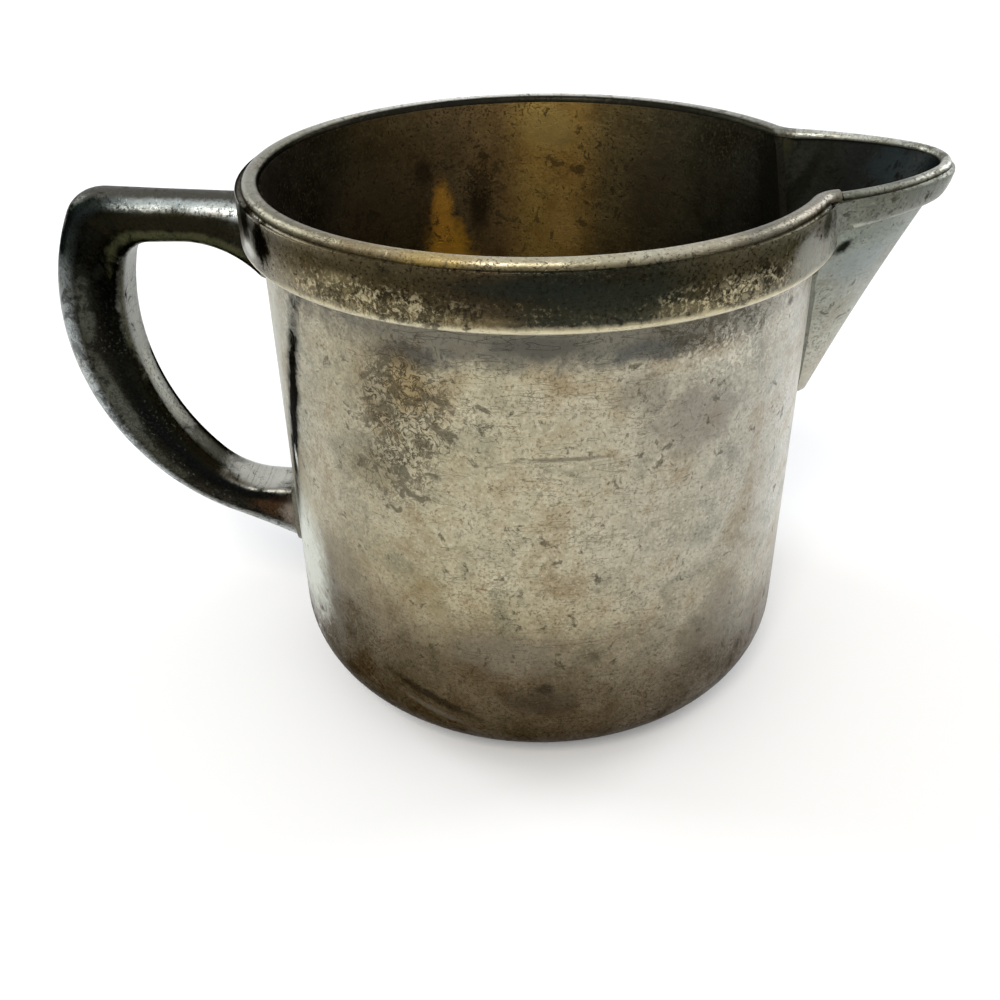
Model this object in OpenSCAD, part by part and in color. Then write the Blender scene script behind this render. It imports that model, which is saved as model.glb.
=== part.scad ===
// Small table creamer: a drawn cylindrical cup with an applied collar and lip wire,
// a folded pouring spout let into the wall, and a cast handle soldered on opposite.
// Origin at the middle of the flat base, Z up, spout along +X, handle along -X.

/* [Node] */
// Piece to draw, or all

/* [Body cup] */
// Outside radius of the straight wall
wall_radius = 37.6; // [36.5:0.1:39]
// Thickness of the drawn wall
wall_thickness = 1; // [0.8:0.05:1.2]
// Thickness of the flat floor
floor_thickness = 1.2; // [1:0.1:1.6]
// Outside radius where the wall turns into the base
base_corner_radius = 11; // [9:0.1:13]
// Height of the lip's crest above the table
rim_height = 76.9; // [75:0.1:79]

/* [Rim] */
// How far the collar stands out from the wall
collar_stand = 2.5; // [2.3:0.05:2.8]
// Height of the collar from its lower edge to its upper arris
collar_height = 7.2; // [6.8:0.1:7.6]
// Rounding of the collar's lower edge
collar_edge_radius = 0.9; // [0.6:0.05:1.1]
// Radius of the half-round lip wire
wire_radius = 1.1; // [1:0.05:1.15]
// Distance of the lip wire's middle line outward from the wall's outside
wire_offset = 0.5; // [0.4:0.05:0.6]
// Radius of the little cove between the arris and the lip wire
cove_radius = 0.4; // [0.3:0.05:0.45]

/* [Spout] */
// Distance from the wall's outside to the lip wire's middle line at the tip
spout_stand = 15.8; // [14.5:0.1:17]
// Radius of the lip's nose
nose_radius = 8.5; // [8:0.1:9]
// Radius of each long side of the lip
side_radius = 28; // [27:0.5:30]
// Radius of the sweep from the round rim into the spout
root_sweep_radius = 4; // [3.5:0.1:5]
// Height at which the spout's keel leaves the wall
keel_root_height = 38.5; // [37:0.1:40]
// Distance of the spout sheet's outside from the lip's middle line
sheet_offset = 0.75; // [0.6:0.05:0.9]
// Thickness of the spout sheet
sheet_thickness = 1; // [0.8:0.05:1.1]
// Thickness of the strip laid round the top of the spout
strip_thickness = 0.9; // [0.7:0.05:1]
// Height of that strip
strip_height = 5.2; // [4.8:0.1:6.4]
// Upward tilt of the spout's lip, in degrees
lip_tilt = 2.6; // [2:0.1:3]

/* [Handle] */
// Full width of the handle
handle_width = 8.2; // [7.6:0.1:8.6]
// Width of the flat on the finger side
handle_flat = 4.4; // [4:0.1:4.8]
// Drop from the lip's crest to the upper arm's ridge where it enters the wall
arm_drop = 4.7; // [4.3:0.1:5]
// Depth of the upper arm from its ridge to its underside
arm_depth = 6; // [5.7:0.1:6.6]
// Distance from the wall's outside to the bend at the arm's outer end
arm_stand = 23; // [22:0.1:25]
// Radius of the bend, on the middle line of the crown
arm_bend_radius = 1.7; // [1.5:0.1:2.2]
// Radius of the bow, on the middle line of the crown
bow_radius = 31.4; // [31:0.1:32]
// Radius under the arm where it spreads down the wall
bracket_radius = 14; // [13.4:0.1:14.4]
// Distance from the bend back to the start of the corner inside it
corner_setback = 6.7; // [6.3:0.1:7]
// Radius of the inside corner at the top of the bow
inner_corner_radius = 4.45; // [4:0.05:5]
// Radius of the inside of the bow
inner_bow_radius = 33.5; // [33:0.1:34]
// Radius inside the lower bend
inner_foot_radius = 11.9; // [11.5:0.1:12.3]

/* [Solder] */
// Size of the solder fillets
solder_size = 0.8; // [0.6:0.05:0.9]

/* [Hidden] */
$fn = 96;

// Overrun of every cutting shape, past the part on all sides
overrun = rim_height;
silver = [0.76, 0.73, 0.66];
dark_silver = [0.42, 0.41, 0.38];
solder_grey = [0.55, 0.56, 0.57];

// Rim
collar_radius = wall_radius + collar_stand;
wire_circle = wall_radius + wire_offset;
wire_seat = rim_height - wire_radius;
collar_bottom = wire_seat - collar_height;
cove_share = 1.25;
cove_middle = collar_radius - cove_radius * cove_share;

// Lip in plan: nose arc, long side arc, and a sweep into the round rim
spout_reach = wall_radius + spout_stand;
nose_join_angle = 40;
nose_middle = spout_reach - nose_radius;
side_middle = [
    nose_middle + (nose_radius - side_radius) * cos(nose_join_angle),
    (nose_radius - side_radius) * sin(nose_join_angle)
];
sweep_middle = circles_meet(
    [0, 0], wire_circle + root_sweep_radius,
    side_middle, side_radius + root_sweep_radius
);
rim_join_angle = atan2(sweep_middle[1], sweep_middle[0]);
side_join_angle = atan2(sweep_middle[1] - side_middle[1], sweep_middle[0] - side_middle[0]);
lip_joint = side_middle + side_radius * [cos(side_join_angle), sin(side_join_angle)];
joint_gap_angle = 0.5;
full_turn = 360;

// Steps along each arc, and points round half a wire
arc_steps = 12;
rim_steps = 120;
round_steps = 10;
edge_steps = 4;

// Spout form: a cone with the lip's plan, whose point lies inside the wall on the keel's line
keel_lean = atan2(spout_reach + sheet_offset - wall_radius, rim_height - keel_root_height);
point_depth = 2 * wall_thickness;
cone_point = [wall_radius - point_depth, keel_root_height - point_depth / tan(keel_lean)];
cone_over_share = 1.25;
tail_share = 0.6;

// Handle: the crown's middle line and the finger side as runs of [radius, turn] or [0, length]
crown_radius = handle_width / 2;
flat_edge_radius = (handle_width - handle_flat) / 2;
inside_wall = wall_radius - wall_thickness;
arm_ridge = rim_height - arm_drop;
arm_underside = arm_ridge - arm_depth;
split_height = arm_underside - inner_bow_radius / 2;
arm_rise_angle = 2.2;
bend_angle = 64.2;
bow_angle = 92.5;
foot_share = 0.22;
crown_start = [inside_wall, arm_ridge - crown_radius];
crown_runs = [
    [0, (arm_stand + wall_thickness) / cos(arm_rise_angle)],
    [arm_bend_radius, bend_angle],
    [bow_radius, bow_angle]
];
bracket_angle = 50;
inner_corner_angle = 73.4;
inner_bow_angle = 60.6;
inner_foot_angle = 180 - inner_corner_angle - inner_bow_angle;
tip_stand_share = 0.33;
inner_start = [
    wall_radius + crown_radius * tip_stand_share,
    arm_underside - bracket_radius * (1 - cos(bracket_angle))
];
bracket_end = inner_start[0] + bracket_radius * sin(bracket_angle);
inner_runs = [
    [bracket_radius, bracket_angle],
    [0, wall_radius + arm_stand - corner_setback - bracket_end],
    [inner_corner_radius, inner_corner_angle],
    [inner_bow_radius, inner_bow_angle],
    [inner_foot_radius, inner_foot_angle]
];

// Point where two circles cross, on the left of the line between their middles
function circles_meet(a, ra, b, rb) =
    let (d = norm(b - a))
    let (along = (ra * ra - rb * rb + d * d) / (2 * d))
    let (aside = sqrt(ra * ra - along * along))
    let (dir = (b - a) / d)
    a + along * dir + aside * [-dir[1], dir[0]];

// Points of an arc, each with the angle in which the outside of the lip lies
function arc_marks(middle, radius, from, to, steps, outside = 0) = [
    for (i = [0 : steps])
        let (angle = from + (to - from) * i / steps)
        [middle + radius * [cos(angle), sin(angle)], angle + outside]
];

// The same marks on the other side of the object, in reverse order
function mirrored(marks) = [
    for (i = [len(marks) - 1 : -1 : 0])
        [[marks[i][0][0], -marks[i][0][1]], -marks[i][1]]
];

// Drops the first mark of a run, which repeats the last of the run before
function rest(marks) = [for (i = [1 : len(marks) - 1]) marks[i]];

side_marks = arc_marks(side_middle, side_radius, nose_join_angle, side_join_angle - joint_gap_angle, arc_steps);
nose_marks = arc_marks([nose_middle, 0], nose_radius, -nose_join_angle, nose_join_angle, arc_steps);
spout_marks = concat(mirrored(side_marks), rest(nose_marks), rest(side_marks));
sweep_marks = arc_marks(
    sweep_middle, root_sweep_radius,
    180 + side_join_angle, 180 + rim_join_angle, round_steps, 180
);
rim_marks = arc_marks([0, 0], wire_circle, rim_join_angle, full_turn - rim_join_angle, rim_steps);
collar_marks = concat(
    [for (mark = sweep_marks) [mark[0], mark[1] - full_turn]],
    rest(rim_marks),
    rest([for (mark = mirrored(sweep_marks)) [mark[0], mark[1] + full_turn]])
);

// Closed outline of the spout form at the height of the rim, run back inside the cup
spout_outline = concat(
    [for (mark = spout_marks) mark[0] + sheet_offset * [cos(mark[1]), sin(mark[1])]],
    [[wall_radius * tail_share, lip_joint[1]], [wall_radius * tail_share, -lip_joint[1]]]
);

// Place and heading after a share of a run
function along_run(place, heading, run, share = 1) =
    run[0] == 0
        ? place + share * run[1] * [cos(heading), sin(heading)]
        : place + run[0] * [sin(heading), -cos(heading)]
            + run[0] * [-sin(heading - share * run[1]), cos(heading - share * run[1])];
function stations(place, heading, runs, i = 0) =
    i == len(runs)
        ? [[place, heading]]
        : concat(
            [[place, heading]],
            stations(
                along_run(place, heading, runs[i]),
                runs[i][0] == 0 ? heading : heading - runs[i][1],
                runs,
                i + 1
            )
        );
crown_stations = stations(crown_start, arm_rise_angle, crown_runs);
inner_stations = stations(inner_start, bracket_angle, inner_runs);

// A point on the crown's ridge, and one on the finger side
function crown_at(run, share) =
    let (heading = crown_stations[run][1] - (crown_runs[run][0] == 0 ? 0 : share * crown_runs[run][1]))
    along_run(crown_stations[run][0], crown_stations[run][1], crown_runs[run], share)
        + crown_radius * [-sin(heading), cos(heading)];
function inner_at(run, share) =
    along_run(inner_stations[run][0], inner_stations[run][1], inner_runs[run], share);

// Where a straight line from the last station comes to the inside of the wall
function foot_at(stations, side) =
    let (last = stations[len(stations) - 1])
    let (start = last[0] + side * [-sin(last[1]), cos(last[1])])
    let (run = max(start[0] - inside_wall, wall_thickness))
    start - run * [1, tan(last[1])];

// Pairs of a finger-side point and a point on the crown's ridge, one pair for each section
arm_mid_share = 0.62;
bracket_steps = 6;
corner_steps = 8;
bow_steps = 14;
foot_steps = 6;
bow_share = 1 - foot_share;
handle_pairs = concat(
    [[inner_start - [point_depth, 0], crown_at(0, 0) - [point_depth, 0]]],
    [for (i = [0 : bracket_steps]) [inner_at(0, i / bracket_steps), crown_at(0, arm_mid_share * i / bracket_steps)]],
    [[inner_at(1, 1), crown_at(0, 1)]],
    [for (i = [1 : corner_steps]) [inner_at(2, i / corner_steps), crown_at(1, i / corner_steps)]],
    [for (i = [1 : bow_steps]) [inner_at(3, i / bow_steps), crown_at(2, bow_share * i / bow_steps)]],
    [for (i = [1 : foot_steps]) [inner_at(4, i / foot_steps), crown_at(2, bow_share + foot_share * i / foot_steps)]],
    [[foot_at(inner_stations, 0), foot_at(crown_stations, crown_radius)]]
);

// One closed section of the handle: crown on the outside, rounded flat on the finger side
function handle_section(pair, grow) =
    let (across = (pair[1] - pair[0]) / norm(pair[1] - pair[0]))
    let (edge = flat_edge_radius + grow)
    let (edge_middle = pair[0] + flat_edge_radius * across)
    let (crown_middle = pair[1] - crown_radius * across)
    concat(
        [for (i = [0 : round_steps])
            let (a = 90 - 180 * i / round_steps)
            let (p = crown_middle + (crown_radius + grow) * cos(a) * across)
            [-p[0], (crown_radius + grow) * sin(a), p[1]]
        ],
        [for (i = [0 : edge_steps])
            let (a = 270 - 90 * i / edge_steps)
            let (p = edge_middle + edge * cos(a) * across)
            [-p[0], -handle_flat / 2 + edge * sin(a), p[1]]
        ],
        [for (i = [0 : edge_steps])
            let (a = 180 - 90 * i / edge_steps)
            let (p = edge_middle + edge * cos(a) * across)
            [-p[0], handle_flat / 2 + edge * sin(a), p[1]]
        ]
    );

// Closed solid through a row of sections with the same number of points
module skin(sections) {
    count = len(sections[0]);
    last = len(sections) - 1;
    polyhedron(
        points = [for (section = sections) for (p = section) p],
        faces = concat(
            [[for (i = [count - 1 : -1 : 0]) i]],
            [[for (i = [0 : count - 1]) last * count + i]],
            [for (s = [0 : last - 1]) for (i = [0 : count - 1])
                [s * count + i, s * count + (i + 1) % count, (s + 1) * count + i]],
            [for (s = [0 : last - 1]) for (i = [0 : count - 1])
                [s * count + (i + 1) % count, (s + 1) * count + (i + 1) % count, (s + 1) * count + i]]
        )
    );
}

// Half-round wire along the marks, lying on the plane of the lip, raised by tilt outside the joint
module lip_wire(marks, tilt) {
    skin([
        for (mark = marks) [
            for (i = [0 : round_steps])
                let (a = 180 * i / round_steps)
                let (p = mark[0] + wire_radius * cos(a) * [cos(mark[1]), sin(mark[1])])
                [p[0], p[1], wire_seat + wire_radius * sin(a) + (p[0] - lip_joint[0]) * tan(tilt)]
        ]
    ]);
}

// Cone over the spout's outline, run on above the lip
module spout_cone() {
    count = len(spout_outline);
    top = cone_point[1] + (rim_height - cone_point[1]) * cone_over_share;
    polyhedron(
        points = concat(
            [[cone_point[0], 0, cone_point[1]]],
            [for (p = spout_outline) [
                cone_point[0] + (p[0] - cone_point[0]) * cone_over_share,
                p[1] * cone_over_share,
                top
            ]]
        ),
        faces = concat(
            [[for (i = [count : -1 : 1]) i]],
            [for (i = [0 : count - 1]) [0, 1 + i, 1 + (i + 1) % count]]
        )
    );
}

// Everything below the tilted plane on which the spout's lip wire lies
module under_lip(drop = 0) {
    translate([lip_joint[0], 0, wire_seat - drop])
        rotate([0, -lip_tilt, 0])
            translate([-overrun, -overrun, -2 * overrun])
                cube(2 * overrun);
}

// Full solid inside the spout sheet's outside, its surface moved outward by grow
module spout_form(grow = 0) {
    translate([0, 0, -grow / sin(keel_lean)])
        spout_cone();
}

// Profile of a round-cornered cup, filled to the axis
module cup_profile(radius, corner, bottom, top) {
    translate([0, bottom])
        square([radius - corner, top - bottom]);
    translate([0, bottom + corner])
        square([radius, top - bottom - corner]);
    intersection() {
        translate([radius - corner, bottom + corner])
            circle(corner);
        translate([0, bottom])
            square([radius, corner]);
    }
}

// Profile of the collar, from the inside radius given
module collar_profile(inside, grow = 0) {
    edge = collar_edge_radius + grow;
    radius = collar_radius + grow;
    bottom = collar_bottom - grow;
    difference() {
        translate([inside, bottom])
            square([radius - inside, wire_seat - bottom]);
        difference() {
            translate([radius - edge, bottom - edge])
                square([2 * edge, 2 * edge]);
            translate([radius - edge, bottom + edge])
                circle(edge);
        }
    }
}

// Solid the handle and the solder are cut back to: the cup and collar, filled in
module filled_body(grow = 0) {
    rotate_extrude()
        union() {
            square([wall_radius + grow, wire_seat]);
            collar_profile(0, grow);
        }
}

// The handle's form before it is fitted to the body
module handle_form(grow = 0) {
    skin([for (pair = handle_pairs) handle_section(pair, grow)]);
}

module body_cup() {
    color(silver)
        difference() {
            rotate_extrude()
                difference() {
                    cup_profile(wall_radius, base_corner_radius, 0, wire_seat);
                    cup_profile(
                        wall_radius - wall_thickness,
                        base_corner_radius - wall_thickness,
                        floor_thickness,
                        wire_seat + overrun
                    );
                }
            spout_form(-sheet_thickness);
        }
}

module rim_band() {
    color(dark_silver)
        difference() {
            rotate_extrude()
                difference() {
                    collar_profile(wall_radius);
                    translate([cove_middle, wire_seat])
                        circle(cove_radius);
                }
            spout_form(strip_thickness);
        }
}

module rim_wire() {
    color(silver)
        lip_wire(collar_marks, 0);
}

module spout_sheet() {
    color(silver)
        difference() {
            intersection() {
                spout_form();
                under_lip();
            }
            spout_form(-sheet_thickness);
            cylinder(h = 2 * overrun, r = wall_radius);
        }
}

module spout_band() {
    color(dark_silver)
        difference() {
            intersection() {
                spout_form(strip_thickness);
                under_lip();
            }
            spout_form();
            under_lip(strip_height);
            cylinder(h = 2 * overrun, r = wall_radius);
        }
}

module spout_lip_wire() {
    color(silver)
        lip_wire(spout_marks, lip_tilt);
}

module handle() {
    color(dark_silver)
        difference() {
            handle_form();
            filled_body();
        }
}

// Fillet round one end of the handle, above or below the height that splits the two
module end_solder(upper) {
    difference() {
        intersection() {
            handle_form(solder_size);
            filled_body(solder_size);
            translate([-overrun, -overrun, upper ? split_height : split_height - overrun])
                cube([overrun, 2 * overrun, overrun]);
        }
        handle_form();
        filled_body();
    }
}

module handle_upper_solder() {
    color(solder_grey)
        end_solder(true);
}

module handle_lower_solder() {
    color(solder_grey)
        end_solder(false);
}

module spout_solder() {
    color(solder_grey)
        difference() {
            intersection() {
                spout_form(strip_thickness + solder_size);
                filled_body(solder_size);
            }
            spout_form(strip_thickness);
            filled_body();
        }
}

body_cup();
rim_band();
rim_wire();
spout_sheet();
spout_band();
spout_lip_wire();
handle();
handle_upper_solder();
handle_lower_solder();
spout_solder();
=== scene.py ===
# A small creamer of silver-plated metal: a drawn cup with a collar and a lip wire, a folded
# spout let into its wall, and a cast handle soldered on opposite. It is worn and tarnished.
from math import atan2, cos, degrees, hypot, pi, radians, sin, sqrt, tan

import bmesh
import bpy
from mathutils import Matrix, Vector
from mathutils.kdtree import KDTree


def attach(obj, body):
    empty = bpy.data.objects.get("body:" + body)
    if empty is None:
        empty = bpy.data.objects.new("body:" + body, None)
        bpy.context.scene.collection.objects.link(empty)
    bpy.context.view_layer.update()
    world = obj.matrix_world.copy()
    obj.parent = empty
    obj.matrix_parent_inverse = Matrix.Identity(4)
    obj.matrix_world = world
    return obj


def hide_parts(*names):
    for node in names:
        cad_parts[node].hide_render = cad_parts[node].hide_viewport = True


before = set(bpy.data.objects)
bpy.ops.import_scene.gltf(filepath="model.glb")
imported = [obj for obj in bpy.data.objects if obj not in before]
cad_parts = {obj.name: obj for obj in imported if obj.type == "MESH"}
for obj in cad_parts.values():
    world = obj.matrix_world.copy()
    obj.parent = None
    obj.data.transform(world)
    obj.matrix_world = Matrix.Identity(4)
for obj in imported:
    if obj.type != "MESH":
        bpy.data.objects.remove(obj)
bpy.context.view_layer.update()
scene = bpy.context.scene
scene.view_settings.view_transform = "Standard"
MM = 0.001


# Camera: above the creamer's side, close to it, with the spout to the right and the handle
# to the left. Its place, tilt and lens were worked out from the rim's and the base's circles.
camera = bpy.data.objects.new("camera", bpy.data.cameras.new("camera"))
scene.collection.objects.link(camera)
camera.data.lens = 39.6
camera.data.sensor_width = 36
camera.data.clip_start = 0.01
CAMERA_PLACE = (0.003037, -0.148906, 0.117371)
CAMERA_TURN = radians(3.463)
LOOKING_DOWN = radians(32.459)
CAMERA_ROLL = -0.02071
camera.matrix_world = (
    Matrix.Translation(CAMERA_PLACE)
    @ Matrix.Rotation(CAMERA_TURN, 4, "Z")
    @ Matrix.Rotation(pi / 2 - LOOKING_DOWN, 4, "X")
    @ Matrix.Rotation(CAMERA_ROLL, 4, "Z")
)
scene.camera = camera


# Studio: a pale floor under a white surround, with three soft lamps. The surround and the
# floor show white to the camera and in the metal, and the floor keeps the cup's shadow.
def add(tree, kind, settings=None, **links):
    """Adds a node with its settings and its inputs, each of which is a value, a socket or a node.

    The settings are the node's own, or the name of its operation alone. An input is named by
    its label with _ for a space, or by its number, as in i0. A node that is given as an input
    stands for its first output.
    """
    node = tree.nodes.new(kind)
    if isinstance(settings, str):
        settings = {"operation": settings}
    for key, value in (settings or {}).items():
        if key == "stops":
            marks = node.color_ramp.elements
            marks.remove(marks[1])
            marks[0].position, marks[0].color = value[0][0], linear(value[0][1])
            for spot, tone in value[1:]:
                marks.new(spot).color = linear(tone)
        else:
            setattr(node, key, value)
    for key, value in links.items():
        key = key.replace("_", " ")
        numbered = key[0] == "i" and key[1:].isdigit()
        socket = node.inputs[int(key[1:]) if numbered else key]
        if isinstance(value, bpy.types.Node):
            value = value.outputs[0]
        if isinstance(value, bpy.types.NodeSocket):
            tree.links.new(value, socket)
        else:
            socket.default_value = value
    return node


def linear(code):
    """Turns an sRGB hex colour into the linear one that a shader needs."""
    parts = [int(code[i : i + 2], 16) / 255 for i in (0, 2, 4)]
    return [c / 12.92 if c <= 0.04045 else ((c + 0.055) / 1.055) ** 2.4 for c in parts] + [1.0]


world = bpy.data.worlds.new("white_surround")
scene.world = world
world.use_nodes = True
tree = world.node_tree
tree.nodes.clear()
path = add(tree, "ShaderNodeLightPath")
camera_ray = path.outputs["Is Camera Ray"]
glossy_ray = path.outputs["Is Glossy Ray"]
seen = add(tree, "ShaderNodeMath", "MAXIMUM", i0=camera_ray, i1=glossy_ray)
seen = add(tree, "ShaderNodeMath", "MAXIMUM", i0=seen, i1=path.outputs["Is Transmission Ray"])
white = add(tree, "ShaderNodeBackground", Color=(1, 1, 1, 1), Strength=1.0)
soft = add(tree, "ShaderNodeBackground", Color=linear("f4f6fa"), Strength=0.75)
both = add(tree, "ShaderNodeMixShader", i0=seen, i1=soft, i2=white)
add(tree, "ShaderNodeOutputWorld", Surface=both)

floor = bpy.data.objects.new("floor", bpy.data.meshes.new("floor"))
# Half the floor's side and the lamps' aim are in metres
PAPER = 4
LAMP_AIM = Vector((0, 0, 0.04))
corners = [(x * PAPER, y * PAPER, 0) for x, y in ((-1, -1), (1, -1), (1, 1), (-1, 1))]
floor.data.from_pydata(corners, [], [(0, 1, 2, 3)])
scene.collection.objects.link(floor)
paper = bpy.data.materials.new("white_paper")
paper.use_nodes = True
tree = paper.node_tree
tree.nodes.clear()
path = add(tree, "ShaderNodeLightPath")
matt = add(tree, "ShaderNodeBsdfDiffuse", Color=linear("f0f0ee"))
lit = add(tree, "ShaderNodeEmission", Color=(1, 1, 1, 1), Strength=0.12)
lifted = add(tree, "ShaderNodeAddShader", i0=matt, i1=lit)
camera_ray = path.outputs["Is Camera Ray"]
glossy_ray = path.outputs["Is Glossy Ray"]
seen = add(tree, "ShaderNodeMath", "MAXIMUM", i0=camera_ray, i1=glossy_ray)
both = add(tree, "ShaderNodeMixShader", i0=seen, i1=matt, i2=lifted)
add(tree, "ShaderNodeOutputMaterial", Surface=both)
floor.data.materials.append(paper)

for name, place, size, power, tone in (
    ("lamp_front", (-0.15, -0.75, 0.95), 0.35, 5.0, "fff8ee"),
    ("lamp_left", (-0.9, 0.35, 0.45), 0.5, 5.0, "f2f6ff"),
    ("lamp_right", (0.85, 0.5, 0.5), 0.5, 4.0, "f6f8ff"),
):
    lamp = bpy.data.lights.new(name, "AREA")
    lamp.size = size
    lamp.energy = power
    lamp.color = linear(tone)[:3]
    holder = bpy.data.objects.new(name, lamp)
    holder.location = place
    holder.rotation_euler = (LAMP_AIM - Vector(place)).to_track_quat("-Z", "Y").to_euler()
    scene.collection.objects.link(holder)


# The cup: one disc of nickel silver drawn to a straight wall with a large turn into a flat
# base, then silver plated. The wall is cut open in a V behind the spout.
# Sizes in mm; the wall ends at SEAT, under the lip wire, and TOUCH keeps faces from coinciding
WALL_RADIUS = 37.6
WALL = 1.0
FLOOR = 1.2
BASE_TURN = 11.0
RIM_HEIGHT = 76.9
WIRE_RADIUS = 1.1
SEAT = RIM_HEIGHT - WIRE_RADIUS
TOUCH = 0.02

# The lip in plan: a nose arc, a long arc at each side, and a sweep into the round rim
REACH = 53.4
NOSE = 8.5
SIDE = 28.0
SWEEP = 4.0
NOSE_TURN = 40
WIRE_CIRCLE = 38.1
nose_middle = REACH - NOSE
side_middle = Vector((
    nose_middle + (NOSE - SIDE) * cos(radians(NOSE_TURN)),
    (NOSE - SIDE) * sin(radians(NOSE_TURN)),
))
span = side_middle.length
along = ((WIRE_CIRCLE + SWEEP) ** 2 - (SIDE + SWEEP) ** 2 + span ** 2) / (2 * span)
aside = sqrt((WIRE_CIRCLE + SWEEP) ** 2 - along ** 2)
toward = side_middle / span
sweep_middle = along * toward + aside * Vector((-toward.y, toward.x))
rim_join = degrees(atan2(sweep_middle.y, sweep_middle.x))
side_join = degrees(atan2(sweep_middle.y - side_middle.y, sweep_middle.x - side_middle.x))


def arc(middle, radius, start, stop, steps):
    """Points of an arc in plan, each with the angle in which it lies from the arc's middle."""
    marks = []
    for i in range(steps + 1):
        turn = start + (stop - start) * i / steps
        a = radians(turn)
        marks.append((middle[0] + radius * cos(a), middle[1] + radius * sin(a), turn))
    return marks


def mirrored(marks):
    """The same marks on the other side of the spout, in reverse order."""
    return [(x, -y, -turn) for x, y, turn in reversed(marks)]


side_marks = arc(side_middle, SIDE, NOSE_TURN, side_join, steps=36)
nose_marks = arc((nose_middle, 0), NOSE, -NOSE_TURN, NOSE_TURN, steps=40)
lip_marks = mirrored(side_marks) + nose_marks[1:] + side_marks[1:]
lip_joint = side_marks[-1]

# The spout's folded sheet is a cone over the lip's plan, with its point inside the wall. LIFT
# raises the cone's outside to its inside, and the foot is closed by a plate against the wall.
SHEET_OFFSET = 0.75
SHEET = 1.0
KEEL_ROOT = 38.5
BLUNT_FOOT = 43.5
FOOT_PLATE = 0.5
TAIL_STEP = (-0.7, -0.02)
TAIL_STEPS = 7
FAR_ABOVE = 1000.0
keel_lean = atan2(REACH + SHEET_OFFSET - WALL_RADIUS, RIM_HEIGHT - KEEL_ROOT)
cone_point = Vector((WALL_RADIUS - 2 * WALL, 0, KEEL_ROOT - 2 * WALL / tan(keel_lean)))
outline = [
    (x + SHEET_OFFSET * cos(radians(turn)), y + SHEET_OFFSET * sin(radians(turn)), turn)
    for x, y, turn in lip_marks
]
end_x, end_y, _ = outline[-1]
tail = [(end_x + TAIL_STEP[0] * k, end_y + TAIL_STEP[1] * k, 90) for k in range(1, TAIL_STEPS + 1)]
outline = mirrored(tail) + outline + tail
LIFT = SHEET / sin(keel_lean)


def cone_reach(bearing):
    """How far from the cone's point its outline at the rim's height lies, in this direction."""
    rays = [(atan2(y, x - cone_point.x), hypot(x - cone_point.x, y)) for x, y, _ in outline]
    for (a, r), (b, s) in zip(rays, rays[1:]):
        if a <= bearing <= b:
            return r * s * sin(b - a) / (s * sin(b - bearing) + r * sin(bearing - a))
    return None


def cone_height(x, y, lift):
    """Height at which the cone, lifted by so much, passes over a point in plan."""
    reach = cone_reach(atan2(y, x - cone_point.x))
    if reach is None:
        return FAR_ABOVE
    share = hypot(x - cone_point.x, y) / reach
    return cone_point.z + lift + (RIM_HEIGHT - cone_point.z) * share


def grid_mesh(name, rings, closed=True, caps=True, sharp=40):
    """A mesh through rings of points in mm, all of one length, smooth but for sharp folds.

    closed joins each ring's end to its start, and caps close the first and the last ring.
    Folds of more than sharp degrees stay sharp.
    """
    count = len(rings[0])
    points = [tuple(c * MM for c in p) for ring in rings for p in ring]
    faces = []
    for i in range(len(rings) - 1):
        for j in range(count if closed else count - 1):
            k = (j + 1) % count
            faces.append((i * count + j, i * count + k, (i + 1) * count + k, (i + 1) * count + j))
    if caps:
        faces.append(tuple(range(count - 1, -1, -1)))
        faces.append(tuple((len(rings) - 1) * count + j for j in range(count)))
    mesh = bpy.data.meshes.new(name)
    mesh.from_pydata(points, [], faces)
    mesh.validate()
    return finished(name, mesh, sharp)


def finished(name, mesh, sharp=40):
    """Merges doubles, turns the faces outward, shades smooth and links the object."""
    bm = bmesh.new()
    bm.from_mesh(mesh)
    bmesh.ops.remove_doubles(bm, verts=bm.verts, dist=1e-6)
    bmesh.ops.recalc_face_normals(bm, faces=bm.faces)
    bm.to_mesh(mesh)
    bm.free()
    mesh.shade_smooth()
    mesh.set_sharp_from_angle(angle=radians(sharp))
    piece = bpy.data.objects.new(name, mesh)
    scene.collection.objects.link(piece)
    return piece


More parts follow.
